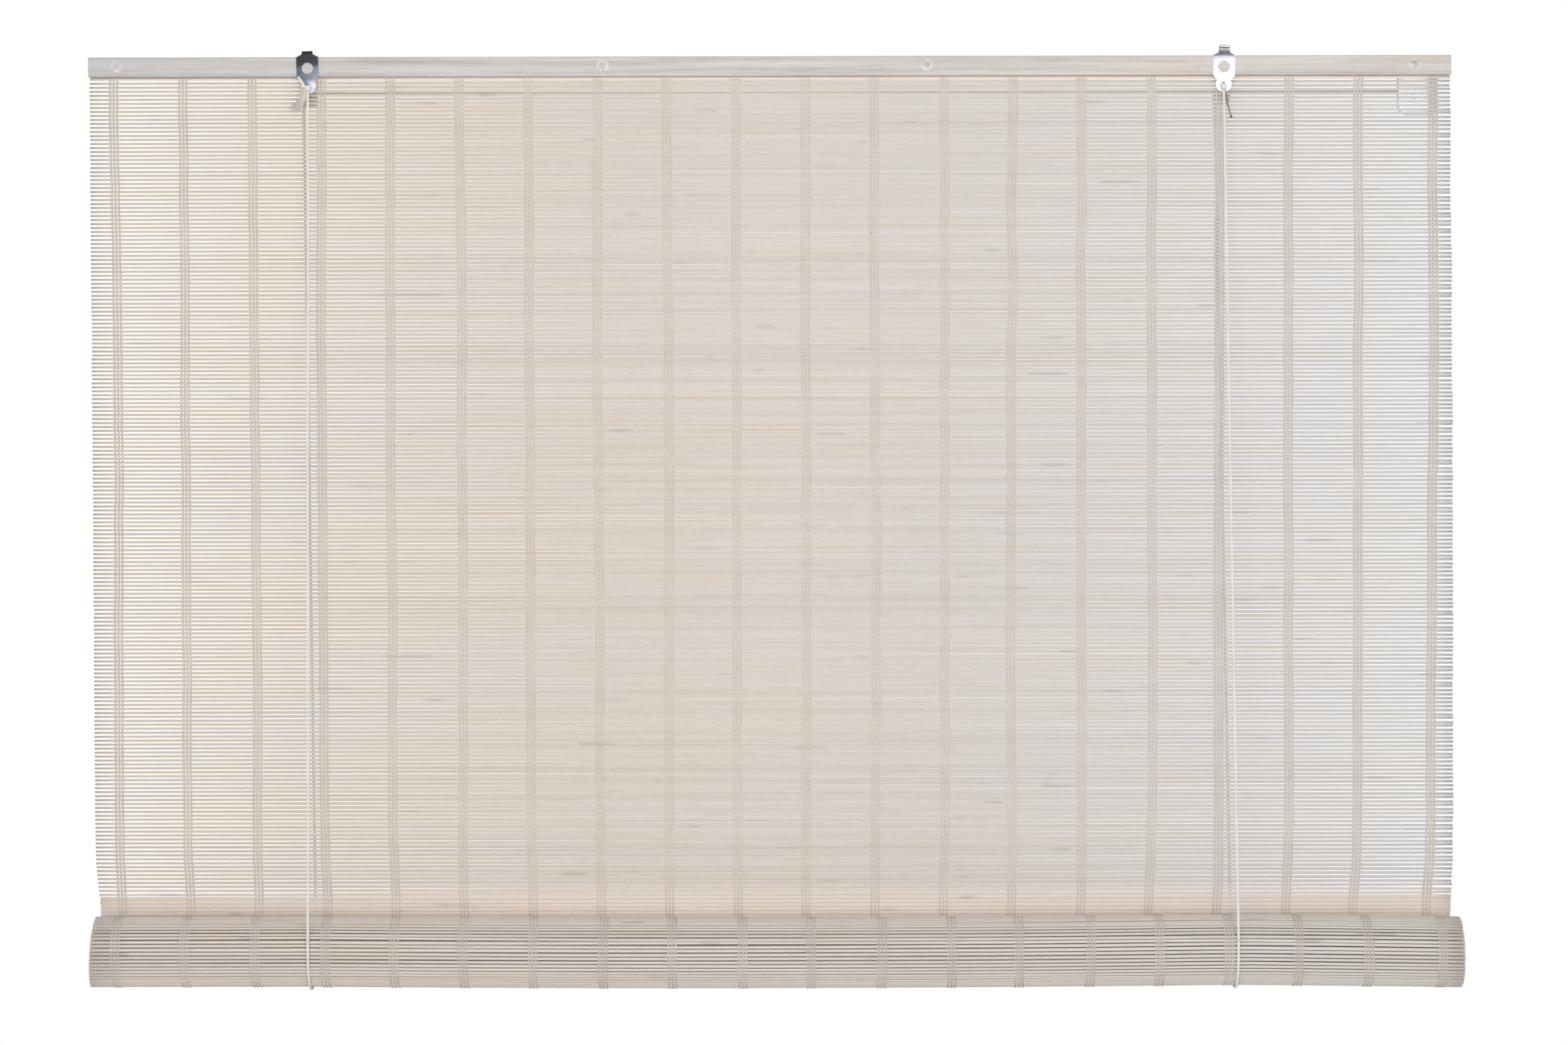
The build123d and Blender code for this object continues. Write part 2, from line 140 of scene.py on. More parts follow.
# The twined threads: their columns, their strands, and how the bands are drawn in above the roll
BAND_SHIFT = 0.0008
LAST_BAND_SHIFT = 0.0045
BAND_DRAW_IN = 0.005
DRAW_IN_DROP = 0.69
DRAW_IN_LENGTH = 0.045
COLUMN_PITCH = 0.0031
STRAND_WIDE_LEFT = 0.00064
STRAND_WIDE = 0.00086
STRAND_WIDE_FROM = -0.1
STRAND_THICK = 0.0004
STRAND_DEPTH = 0.00103
STRAND_SIDE = 0.00048
STRAND_SKEW = 0.0002
STRAND_WANDER = 0.00009

# The roll: its outer turn, its ends, and how it hangs down between its cords
ROLL_OUTER = 0.0315
ROLL_LEFT = -0.5964
ROLL_RIGHT = 0.6060
ROLL_END_SKEW = 0.0018
ROLL_END_BULGE = 0.0005
ROLL_SAG = 0.0021
CORD_PLACE = 0.406
TURN_COUNT = 7.0
FULL_TURNS = 1.9
THREAD_TURNS = 1.02
FIRST_ANGLE = 0.1
STEP_START = 0.5
ROLLED_TIGHTER = 0.965
ROLLED_HEIGHT = 0.00265
ROLLED_LEAST = 0.0019
ROLLED_MOST = 0.0033
ROLLED_VARIES = 0.05
ROLLED_SWELL = 0.03
ROLLED_SWAY = 0.00016
ROLL_END_OUT_LEFT = 0.0004
ROLL_END_OUT_RIGHT = 0.0002
ROLL_END_IN = 0.004


def hung(drop, depth):
    """The y and z of points of the hanging mat: distance below the headrail, depth behind the mat."""
    lean = np.where(np.asarray(drop) > 0, MAT_LEAN, 0.0)
    y = depth * np.cos(lean) + drop * np.sin(lean)
    z = -RAIL_HEIGHT - drop * np.cos(lean) + depth * np.sin(lean)
    return y, z


def attach(obj, body, node):
    """Move obj with this body, and hide the CAD node that it stands for."""
    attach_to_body(obj, body)
    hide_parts(node)


# Materials
class Finish:
    """A material with a Principled shader and short calls for its nodes."""

    def __init__(self, name, rough=0.6, metal=0.0, spec=0.5):
        self.material = bpy.data.materials.new(name)
        self.material.use_nodes = True
        self.tree = self.material.node_tree
        self.shader = self.tree.nodes["Principled BSDF"]
        self.shader.inputs["Roughness"].default_value = rough
        self.shader.inputs["Metallic"].default_value = metal
        self.shader.inputs["Specular IOR Level"].default_value = spec

    def node(self, kind, **values):
        made = self.tree.nodes.new("ShaderNode" + kind)
        for key, value in values.items():
            setattr(made, key, value)
        return made

    def link(self, output, socket):
        self.tree.links.new(output, socket)

    def set(self, socket, value):
        """Link an output to this socket, or write a constant on it."""
        if isinstance(value, bpy.types.NodeSocket):
            self.link(value, socket)
        elif value is not None:
            socket.default_value = value

    def coords(self, scale):
        """Object coordinates, scaled."""
        source = self.node("TexCoord")
        mapping = self.node("Mapping")
        self.link(source.outputs["Object"], mapping.inputs["Vector"])
        mapping.inputs["Scale"].default_value = scale
        return mapping.outputs[0]

    def along_x(self):
        """0 at the left end of the blind and 1 at the right."""
        parts = self.node("SeparateXYZ")
        self.link(self.node("TexCoord").outputs["Object"], parts.inputs[0])
        share = self.node("MapRange")
        self.link(parts.outputs[0], share.inputs["Value"])
        share.inputs["From Min"].default_value = -RAIL_END
        share.inputs["From Max"].default_value = RAIL_END
        return share.outputs[0]

    def attribute(self, name):
        return self.node("Attribute", attribute_name=name).outputs["Fac"]

    def noise(self, vector, detail=3.0, rough=0.55, w=None):
        """Noise of these coordinates, and of the fourth one if it is given."""
        made = self.node("TexNoise", noise_dimensions="3D" if w is None else "4D")
        self.link(vector, made.inputs["Vector"])
        made.inputs["Scale"].default_value = 1.0
        made.inputs["Detail"].default_value = detail
        made.inputs["Roughness"].default_value = rough
        if w is not None:
            self.set(made.inputs["W"], w)
        return made.outputs["Fac"]

    def ramp(self, fac, stops):
        """A colour ramp. Each stop is a place and a colour, or a place and a grey."""
        made = self.node("ValToRGB")
        self.link(fac, made.inputs[0])
        elements = made.color_ramp.elements
        while len(elements) < len(stops):
            elements.new(0.5)
        for element, (place, colour) in zip(elements, stops):
            element.position = place
            element.color = (*(colour if isinstance(colour, tuple) else (colour,) * 3), 1.0)
        return made.outputs[0]

    def math(self, operation, a, b, c=None):
        made = self.node("Math", operation=operation)
        for socket, value in zip(made.inputs, (a, b, c)):
            self.set(socket, value)
        return made.outputs[0]

    def mix(self, fac, a, b, mode="MIX"):
        """Two colours, mixed or blended by this share."""
        made = self.node("Mix", data_type="RGBA", blend_type=mode)
        self.set(made.inputs[0], fac)
        for socket, value in ((made.inputs[6], a), (made.inputs[7], b)):
            self.set(socket, (*value, 1.0) if isinstance(value, tuple) else value)
        return made.outputs[2]

    def multiply(self, a, b):
        return self.mix(1.0, a, b, "MULTIPLY")

    def bump(self, height, strength, distance):
        made = self.node("Bump")
        made.inputs["Strength"].default_value = strength
        made.inputs["Distance"].default_value = distance
        self.link(height, made.inputs["Height"])
        self.link(made.outputs[0], self.shader.inputs["Normal"])

    def colour(self, value):
        self.set(self.shader.inputs["Base Color"], value)

    def rough(self, value):
        self.set(self.shader.inputs["Roughness"], value)


def srgb(r, g, b):
    """A colour written in the usual 0 to 255 steps, as a linear colour."""
    linear = []
    for step in (r, g, b):
        v = step / 255
        linear.append(v / 12.92 if v <= 0.04045 else ((v + 0.055) / 1.055) ** 2.4)
    return tuple(linear)


def bamboo(name, left, centre, right, dark, peach_painted_light=None):
    """Whitewashed split bamboo: each slat its own tone, long grain, worn streaks and grey marks."""
    m = Finish(name, rough=0.72, spec=0.25)
    tone = m.attribute("tone")
    seed = m.attribute("seed")
    base = m.ramp(m.along_x(), [(0.0, left), (0.5, centre), (1.0, right)])
    pale = (1.03, 1.03, 1.02)
    slat = m.ramp(tone, [(0.0, (0.96, 0.95, 0.94)), (0.3, (1.0, 0.99, 0.98)), (WASHED_TONE, pale)])
    base = m.multiply(base, slat)
    # Slats whose tone is above WASHED_TONE mix towards a peach that is partly their own colour and partly
    # painted light over the shade of the roll and the rail
    if peach_painted_light:
        base = m.mix(m.ramp(tone, [(WASHED_TONE, 0.0), (1.0, 1.0)]), base, peach_painted_light)
    patch = m.noise(m.coords((9.0, 260.0, 260.0)), 3.0, 0.6, w=seed)
    tint = m.ramp(patch, [(0.32, (0.99, 0.95, 0.9)), (0.5, 1.0), (0.68, (1.01, 1.01, 1.04))])
    base = m.multiply(base, tint)
    marks = m.noise(m.coords((14.0, 30.0, 30.0)), 2.0, 0.5, w=seed)
    base = m.mix(m.ramp(marks, [(0.66, 0.0), (0.72, 0.5)]), base, dark)
    cut = (0.86, 0.85, 0.84)
    worn_cut = (0.94, 0.93, 0.92)
    ends = m.ramp(m.along_x(), [(0.0003, cut), (0.0022, 1.0), (0.9982, 1.0), (0.9999, worn_cut)])
    base = m.multiply(base, ends)
    grain = m.noise(m.coords((35.0, 2200.0, 2200.0)), 4.0, 0.6)
    fine = m.ramp(grain, [(0.35, (0.96, 0.95, 0.94)), (0.6, 1.01)])
    m.colour(m.multiply(base, fine))
    m.rough(m.ramp(grain, [(0.3, 0.62), (0.7, 0.85)]))
    m.bump(grain, 0.35, 0.0002)
    return m.material


def washed_wood(name):
    """The rail: grey-white wash over wood, with tan worn streaks along the grain, more at the right."""
    m = Finish(name, rough=0.7, spec=0.3)
    x = m.along_x()
    wash = m.noise(m.coords((5.0, 190.0, 190.0)), 5.0, 0.6)
    washes = [(0.3, srgb(184, 180, 176)), (0.5, srgb(203, 199, 194)), (0.7, srgb(216, 213, 209))]
    base = m.ramp(wash, washes)
    worn = m.noise(m.coords((7.0, 120.0, 160.0)), 4.0, 0.65)
    more_right = m.math("MULTIPLY_ADD", x, 0.09, -0.03)
    mask = m.ramp(m.math("ADD", worn, more_right), [(0.57, 0.0), (0.7, 0.8)])
    base = m.mix(mask, base, srgb(205, 186, 168))
    grain = m.noise(m.coords((30.0, 900.0, 1500.0)), 6.0, 0.65)
    base = m.multiply(base, m.ramp(grain, [(0.3, (0.86, 0.85, 0.84)), (0.55, 1.02)]))
    side = m.ramp(x, [(0.0, (0.99, 1.0, 1.02)), (0.45, (1.13, 1.11, 1.09)), (1.0, (1.17, 1.15, 1.12))])
    m.colour(m.multiply(base, side))
    m.bump(grain, 0.5, 0.0004)
    return m.material


def thread(name, light, shade):
    """Twisted yarn: short slanted plies and a little fuzz."""
    m = Finish(name, rough=0.9, spec=0.15)
    m.shader.inputs["Sheen Weight"].default_value = 0.25
    wave = m.node("TexWave", wave_type="BANDS", bands_direction="DIAGONAL")
    m.link(m.coords((1, 1, 1)), wave.inputs["Vector"])
    wave.inputs["Scale"].default_value = 900.0
    wave.inputs["Distortion"].default_value = 1.5
    mottle = m.noise(m.coords((40, 40, 40)))
    base = m.mix(m.ramp(mottle, [(0.35, 0.0), (0.65, 1.0)]), light, shade)
    ply = m.ramp(wave.outputs["Fac"], [(0.0, (0.95, 0.94, 0.93)), (0.6, 1.01)])
    m.colour(m.multiply(base, ply))
    m.bump(wave.outputs["Fac"], 0.25, 0.0002)
    return m.material


def steel(name, dark, light, rough):
    """Bright plated sheet with faint rolling marks and cloudy patches."""
    m = Finish(name, rough=rough, metal=1.0)
    cloud = m.noise(m.coords((70, 70, 70)), 4.0, 0.6)
    scratch = m.noise(m.coords((500, 500, 4000)), 2.0)
    m.colour(m.ramp(cloud, [(0.35, dark), (0.65, light)]))
    m.rough(m.ramp(scratch, [(0.3, rough * 0.7), (0.7, rough * 1.5)]))
    m.bump(cloud, 0.008, 0.0003)
    return m.material


def paint(name, colour, worn):
    """Paint over a tack: slightly uneven, rubbed through on the crown."""
    m = Finish(name, rough=0.24, spec=0.8)
    cloud = m.noise(m.coords((260, 260, 260)), 4.0, 0.6)
    m.colour(m.mix(m.ramp(cloud, [(0.52, 0.0), (0.68, 1.0)]), colour, worn))
    m.bump(cloud, 0.3, 0.0003)
    return m.material


def nylon(name):
    """Plain moulded plastic with a faint mould texture."""
    m = Finish(name, rough=0.42)
    cloud = m.noise(m.coords((900, 900, 900)))
    m.colour(m.ramp(cloud, [(0.3, srgb(206, 204, 198)), (0.7, srgb(218, 216, 211))]))
    m.bump(cloud, 0.1, 0.0001)
    return m.material


bamboo_mat = bamboo(
    "slat_bamboo",
    left=srgb(215, 203, 187),
    centre=srgb(222, 213, 204),
    right=srgb(212, 209, 206),
    dark=srgb(186, 177, 168),
    # The peach of the pressed slats, brightened as painted light over the shade of the roll and the rail
    peach_painted_light=(0.90, 0.79, 0.70),
)
bamboo_roll = bamboo(
    "roll_bamboo",
    left=srgb(222, 212, 203),
    centre=srgb(221, 212, 204),
    right=srgb(220, 214, 208),
    dark=srgb(172, 163, 155),
)
wood_mat = washed_wood("rail_wood")
thread_mat = thread("warp_thread", srgb(228, 218, 208), srgb(217, 207, 196))
roll_thread_mat = thread("roll_thread", srgb(212, 202, 193), srgb(194, 185, 176))
cord_mat = thread("lift_cord", srgb(250, 247, 244), srgb(240, 236, 232))
# The right tail's grey is painted shade on the white cord
tail_painted_shade = thread("tail_painted_shade", srgb(150, 140, 126), srgb(112, 104, 94))
frayed_mat = thread("frayed_tail", srgb(222, 216, 208), srgb(196, 188, 178))
knot_mat = thread("knotted_cord", srgb(220, 214, 207), srgb(200, 193, 185))
seal_mat = thread("sealed_end", srgb(92, 84, 76), srgb(74, 68, 62))
steel_mat = steel("plated_steel", srgb(214, 218, 224), srgb(236, 239, 243), 0.05)
tack_mat = paint("washed_tack", srgb(212, 209, 205), srgb(176, 168, 158))
# The lock's near-white satin steel is painted light: it lightens the saddle and screws in their shade
# behind the mat
lock_painted_light_mat = steel("satin_steel_painted_light", srgb(243, 245, 247), srgb(250, 251, 252), 0.5)
nylon_mat = nylon("moulded_nylon")


# Meshes
def tube_faces(rings, sides):
    """Faces between the rings of one tube, as numbers of its points."""
    ring = np.arange(rings - 1)[:, None] * sides
    side = np.arange(sides)[None, :]
    after = (side + 1) % sides
    corners = [ring + side, ring + after, ring + sides + after, ring + sides + side]
    return np.stack(corners, axis=-1).reshape(-1, 4)


def tubes(name, points, material, tone=None, seed=None):
    """One object of many capped tubes. points has the shape (tubes, rings, sides, 3)."""
    count, rings, sides, _ = points.shape
    first_point = (np.arange(count) * rings * sides)[:, None, None]
    walls = (tube_faces(rings, sides)[None] + first_point).reshape(-1, 4)
    near_cap = np.arange(sides)[::-1]
    far_cap = np.arange(sides) + (rings - 1) * sides
    caps = (np.stack([near_cap, far_cap])[None] + first_point).reshape(-1, sides)
    mesh = bpy.data.meshes.new(name)
    mesh.from_pydata(points.reshape(-1, 3).tolist(), [], walls.tolist() + caps.tolist())
    mesh.validate()
    for label, values in (("tone", tone), ("seed", seed)):
        if values is not None:
            layer = mesh.attributes.new(label, "FLOAT", "POINT")
            layer.data.foreach_set("value", np.repeat(values, rings * sides).astype(np.float32))
    mesh.shade_smooth()
    mesh.materials.append(material)
    obj = bpy.data.objects.new(name, mesh)
    bpy.context.collection.objects.link(obj)
    return obj


# How slats differ from one another
def gap_at(x):
    """The light gap between slats: nearly closed in the middle of the blind and wide towards its ends."""
    left = np.clip((GAP_LEFT_START - x) / (RAIL_END + GAP_LEFT_START), 0, 1) ** GAP_LEFT_POWER
    right = np.clip((x - GAP_RIGHT_START) / (RAIL_END - GAP_RIGHT_START), 0, 1) ** GAP_RIGHT_POWER
    return GAP_MIDDLE + (GAP_LEFT - GAP_MIDDLE) * left + (GAP_RIGHT - GAP_MIDDLE) * right


def sway(count, x, waves, size):
    """A smooth random curve along x for each of count slats."""
    out = np.zeros((count, len(x)))
    for wave in range(1, waves + 1):
        phase = rng.uniform(0, 2 * pi, (count, 1))
        amount = rng.normal(0, size / wave, (count, 1))
        out += amount * np.sin(2 * pi * wave * x[None, :] / RAIL_LENGTH + phase)
    return out


def drift(drops, x, size):
    """A smooth field shared by neighbouring slats, so that they bunch and part together."""
    fields = 5
    out = np.zeros((len(drops), len(x)))
    for _ in range(fields):
        down = rng.uniform(4, 16)
        along = rng.uniform(1, 7)
        down_phase, along_phase = rng.uniform(0, 2 * pi, 2)
        bend = np.sin(x[None, :] * along + along_phase) * 2
        out += np.sin(drops[:, None] * down + down_phase + bend)
    return out * size / fields


def end_offsets(count, spread):
    """How far each slat's end stands out or in: groups share a place, and single slats stray."""
    groups = np.repeat(rng.normal(0, spread, count // END_GROUP + 2), END_GROUP)[:count]
    return groups * END_GROUP_SHARE + rng.normal(0, spread * END_LOOSE_SHARE, count)


def ringed(x0, x1, rings):
    """The x of the rings of each slat, from its left end to its right."""
    share = np.linspace(0, 1, rings)[None, :]
    return x0[:, None] * (1 - share) + x1[:, None] * share


# The section of a slat, a rounded box: each corner's share of half the depth and of half the height
corner = np.arange(SLAT_SIDES) * 2 * pi / SLAT_SIDES + pi / SLAT_SIDES
corner_depth = np.sign(np.cos(corner)) * np.abs(np.cos(corner)) ** CORNER_POWER
corner_drop = np.sign(np.sin(corner)) * np.abs(np.sin(corner)) ** CORNER_POWER

# The hanging slats
slat_drops = (np.arange(-HEAD_SLATS, round(AXIS_DROP / SLAT_PITCH)) + 0.5) * SLAT_PITCH
slat_count = len(slat_drops)
slat_grid = np.linspace(-RAIL_END, RAIL_END, SLAT_RINGS)
closed = slat_drops > CLOSED_DROP


def slat_ends():
    """The x of the left and right end of every hanging slat."""
    left = np.interp(slat_drops, LEFT_END_DROPS, LEFT_ENDS)
    left += np.clip(end_offsets(slat_count, END_STRAY), -END_STRAY_OUT, END_STRAY_MOST)
    right = np.interp(slat_drops, RIGHT_END_DROPS, RIGHT_ENDS)
    right += np.clip(end_offsets(slat_count, END_STRAY), -END_STRAY_MOST, END_STRAY_MOST)
    return left, right


def slat_heights():
    """How high each slat is along x: the pitch less the gap, swelling and thinning a little."""
    height = SLAT_PITCH - gap_at(slat_grid)[None, :]
    height = height * rng.normal(1.0, SLAT_VARIES, (slat_count, 1))
    height = height * (1 + sway(slat_count, slat_grid, waves=6, size=SLAT_SWELL))
    height[closed] = SLAT_PITCH
    return np.clip(height, SLAT_LEAST, SLAT_PITCH)


def slat_shifts():
    """How far each slat lies below its even place along x: bunched, swaying and paired at the right end."""
    shift = drift(slat_drops, slat_grid, SLAT_DRIFT) * gap_at(slat_grid)[None, :] / GAP_LEFT
    shift = shift + sway(slat_count, slat_grid, waves=5, size=SLAT_SWAY)
    pairs = np.random.default_rng(PINCH_SEED).uniform(*PINCH_RANGE, slat_count // 2 + 1)
    lean = np.repeat(pairs, 2)[:slat_count]
    lean[1::2] *= -1
    near_end = np.clip((slat_grid - PINCH_START) / PINCH_LENGTH, 0, 1)
    shift = shift + PINCH * lean[:, None] * near_end[None, :]
    shift[:HEAD_SLATS] = 0
    shift[closed] *= CLOSED_SHIFT
    return shift


def slat_tones():
    """Each slat's tone: a random washed one, but the top tone just above the roll, as peach with painted
    light over the roll's shade, and on the first slat under the rail, as painted light over the rail's
    shadow.
    """
    painted_light_share = np.clip((slat_drops - PAINTED_LIGHT_DROP) / (PAINTED_LIGHT_FULL_DROP - PAINTED_LIGHT_DROP), 0, 1)
    washed = rng.uniform(0, WASHED_TONE, slat_count)
    tones = np.where(painted_light_share > 0, WASHED_TONE + (1 - WASHED_TONE) * painted_light_share, washed)
    # Painted light: the first slat under the rail takes the top tone to cover the rail's shadow line
    tones[HEAD_SLATS] = 1.0
    return tones


slat_x = ringed(*slat_ends(), SLAT_RINGS)
slat_height = slat_heights()
slat_shift = slat_shifts()


def hanging_slats():
    """Every slat of the hanging mat, with the two that lie in the rail."""
    middle = slat_drops[:, None] + slat_shift
    drop = middle[:, :, None] - slat_height[:, :, None] / 2 * corner_drop
    depth = np.broadcast_to(SLAT_DEPTH / 2 * corner_depth, drop.shape)
    y, z = hung(drop, depth)
    points = np.stack([np.broadcast_to(slat_x[:, :, None], drop.shape), y, z], axis=-1)
    obj = tubes("mat_slats", points, bamboo_mat, slat_tones(), rng.uniform(0, SEED_MOST, slat_count))
    attach(obj, "headrail", "slat_mat")
    return obj


slats = hanging_slats()

# The twined threads of the hanging mat
band_places = (np.arange(BAND_COUNT) - (BAND_COUNT - 1) / 2) * BAND_PITCH + BAND_SHIFT
band_places[-1] += LAST_BAND_SHIFT


def with_middles(values):
    """These values, with the middle of each neighbouring two between them."""
    out = np.empty(2 * len(values) - 1)
    out[0::2] = values
    out[1::2] = (values[:-1] + values[1:]) / 2
    return out


def strand_wide(x):
    """Half the width of a strand: the twist is looser, with small holes, at the left end."""
    return float(np.interp(x, (-RAIL_END, STRAND_WIDE_FROM), (STRAND_WIDE_LEFT, STRAND_WIDE)))


def twined(b, wander):
    """The six strands of the band at b, as steps in x and in depth: over one slat and under the next."""
    count = len(wander)
    over = 1 - 2 * (np.arange((count + 1) // 2) % 2)
    for column in (-1, 0, 1):
        for strand in (1, -1):
            beat = np.zeros(count)
            beat[0::2] = strand * over
            side = np.zeros(count)
            side[1::2] = strand * STRAND_SIDE
            yield b + column * COLUMN_PITCH + wander + side + beat * STRAND_SKEW, beat * STRAND_DEPTH


def strand_rings(x, y, z, outward, wide, sides=4):
    """Rings of a flattened strand along a line: outward is the way out of the mat or the roll."""
    line = np.stack([x, y, z], axis=-1)
    a = np.arange(sides) * 2 * pi / sides + pi / sides
    across = np.array([1.0, 0.0, 0.0]) * (np.cos(a) * wide)[None, :, None]
    return line[:, None, :] + across + outward[:, None, :] * (np.sin(a) * STRAND_THICK)[None, :, None]


def mat_strands(bands):
    """The strands of these bands: three twined pairs each, crossing between every two slats."""
    out = []
    for b in bands:
        ring = int(round((b / RAIL_LENGTH + 0.5) * (SLAT_RINGS - 1)))
        line_drop = with_middles(slat_drops + slat_shift[:, ring])[2 * HEAD_SLATS :]
        count = len(line_drop)
        wander = np.cumsum(rng.normal(0, STRAND_WANDER, count))
        wander -= np.linspace(wander[0], wander[-1], count)
        drawn_in = 1 - BAND_DRAW_IN * np.clip((line_drop - DRAW_IN_DROP) / DRAW_IN_LENGTH, 0, 1)
        outward = np.tile([0.0, 1.0, 0.0], (count, 1))
        for x, depth in twined(b * drawn_in, wander):
            y, z = hung(line_drop, depth)
            out.append(strand_rings(x, y, z, outward, strand_wide(b)))
    return np.stack(out)


def mat_threads(number, bands):
    """One object of these bands, because all of them are too many triangles for one piece."""
    obj = tubes(f"mat_threads_{number}", mat_strands(bands), thread_mat)
    attach(obj, "headrail", "mat_thread_bands")
    return obj


threads = [mat_threads(number + 1, bands) for number, bands in enumerate(np.split(band_places, 4))]


# The rolled slats: one long spiral, its outer turns in full and the inner ones seen at the ends
def wound(angle):
    """The radius of the winding: each turn is round until it steps inwards at the top of the roll."""
    turns = np.asarray(angle) / (2 * pi)
    step = np.clip((turns % 1.0 - STEP_START) / (1 - STEP_START), 0, 1)
    return ROLL_OUTER - SLAT_DEPTH / 2 - TURN_PITCH * (np.floor(turns) + step**2)


def sag(x):
    """How far the roll hangs down between its two cords and beyond the right one."""
    return ROLL_SAG * np.abs(1 - (np.maximum(x, -CORD_PLACE) / CORD_PLACE) ** 2)


def rolled(x, radius, angle):
    """The y and z of points of the roll."""
    depth = AXIS_DEPTH + radius * np.cos(angle)
    drop = AXIS_DROP + sag(x) + radius * np.sin(angle)
    return hung(drop, depth)


def roll_sweep():
    """The angles of the rolled slats from the outside in, at even steps along the winding."""
    angles = []
    angle = FIRST_ANGLE
    while angle < 2 * pi * TURN_COUNT:
        angles.append(angle)
        angle += SLAT_PITCH * ROLLED_TIGHTER / float(wound(angle))
    return np.array(angles)


roll_angles = roll_sweep()


def roll_ends(angles, stray):
    """The x of both ends of the rolled slats: the left end is skewed, and the right end bulges."""
    count = len(angles)
    left = ROLL_LEFT - ROLL_END_SKEW * np.sin(angles)
    left = left + np.clip(end_offsets(count, stray), -ROLL_END_OUT_LEFT, ROLL_END_IN)
    right = ROLL_RIGHT + ROLL_END_BULGE * (np.sin(angles) - np.cos(angles))
    right = right + np.clip(end_offsets(count, stray), -ROLL_END_IN, ROLL_END_OUT_RIGHT)
    return left, right


def roll_slats(name, angles, rings, stray):
    """Rolled slats at these angles, with their ends straying this far."""
    radii = wound(angles)
    count = len(angles)
    x = ringed(*roll_ends(angles, stray), rings)
    grid = np.linspace(-RAIL_END, RAIL_END, rings)
    tall = ROLLED_HEIGHT * rng.normal(1.0, ROLLED_VARIES, (count, 1))
    tall = tall * (1 + sway(count, grid, waves=5, size=ROLLED_SWELL))
    tall = np.clip(tall, ROLLED_LEAST, ROLLED_MOST)
    turn = angles[:, None] + sway(count, grid, waves=4, size=ROLLED_SWAY) / radii[:, None]
    turn = turn[:, :, None]
    tangent = tall[:, :, None] / 2 * corner_drop
    radial = radii[:, None, None] + SLAT_DEPTH / 2 * corner_depth
    depth = AXIS_DEPTH + radial * np.cos(turn) - tangent * np.sin(turn)
    drop = AXIS_DROP + sag(x)[:, :, None] + radial * np.sin(turn) + tangent * np.cos(turn)
    y, z = hung(drop, depth)
    points = np.stack([np.broadcast_to(x[:, :, None], drop.shape), y, z], axis=-1)
    obj = tubes(name, points, bamboo_roll, rng.uniform(0, 1, count), rng.uniform(0, SEED_MOST, count))
    attach(obj, "roll", "mat_roll")


outer = roll_angles < 2 * pi * FULL_TURNS
roll_slats("roll_slats_outer", roll_angles[outer], rings=33, stray=0.0003)
roll_slats("roll_slats_inner", roll_angles[~outer], rings=9, stray=0.0012)


# The twined threads round the outer turn
def roll_strands():
    """The strands of every band round the roll."""
    out = []
    angle = with_middles(roll_angles[roll_angles < 2 * pi * THREAD_TURNS])
    radii = wound(angle)
    outward = np.stack([np.zeros(len(angle)), np.cos(angle), -np.sin(angle)], axis=-1)
    for b in band_places + ROLL_SHIFT:
        wander = np.cumsum(rng.normal(0, STRAND_WANDER, len(angle)))
        for x, depth in twined(b, wander):
            y, z = rolled(x, radii + depth, angle)
            out.append(strand_rings(x, y, z, outward, strand_wide(b)))
    return np.stack(out)


roll_threads = tubes("roll_threads", roll_strands(), roll_thread_mat)
attach(roll_threads, "roll", "roll_thread_bands")

# The camera's place. The photograph's pixels are PIXEL metres wide at the front of the rail
PIXEL = 0.00069
PHOTO_WIDTH = 2000.0
PHOTO_HEIGHT = 1333.0
RAIL_MIDDLE_U = 983.0
RAIL_TOP_V = 71.6
CAMERA_DISTANCE = 3.97
CAMERA_ROLL = 0.12
SENSOR_WIDTH = 36.0


def add_camera():
    """A camera straight in front of the blind, as the photograph's was."""
    data = bpy.data.cameras.new("camera")
    data.sensor_width = SENSOR_WIDTH
    data.lens = CAMERA_DISTANCE / PIXEL * SENSOR_WIDTH / PHOTO_WIDTH
    data.clip_end = 60.0
    camera = bpy.data.objects.new("camera", data)
    bpy.context.collection.objects.link(camera)
    x = (PHOTO_WIDTH / 2 - RAIL_MIDDLE_U) * PIXEL
    z = -(PHOTO_HEIGHT / 2 - RAIL_TOP_V) * PIXEL
    camera.location = (x, FRONT_FACE - CAMERA_DISTANCE, z)
    camera.rotation_euler = (radians(90), radians(CAMERA_ROLL), 0)
    bpy.context.scene.camera = camera


# The studio: a pale floor, a white sky and four lamps
FLOOR_REACH = 3.0
FLOOR_Z = -1.35
MAT_MIDDLE = (0, 0, -0.4)


def add_floor():
    """A wide pale floor, well below the blind."""
    mesh = bpy.data.meshes.new("floor")
    signs = ((-1, -1), (1, -1), (1, 1), (-1, 1))
    mesh.from_pydata([(FLOOR_REACH * x, FLOOR_REACH * y, FLOOR_Z) for x, y in signs], [], [(0, 1, 2, 3)])
    floor = bpy.data.objects.new("floor", mesh)
    bpy.context.collection.objects.link(floor)
    m = Finish("floor_pale", rough=0.8)
    m.colour(m.ramp(m.noise(m.coords((3, 3, 3)), 2.0), [(0.3, 0.84), (0.7, 0.87)]))
    mesh.materials.append(m.material)


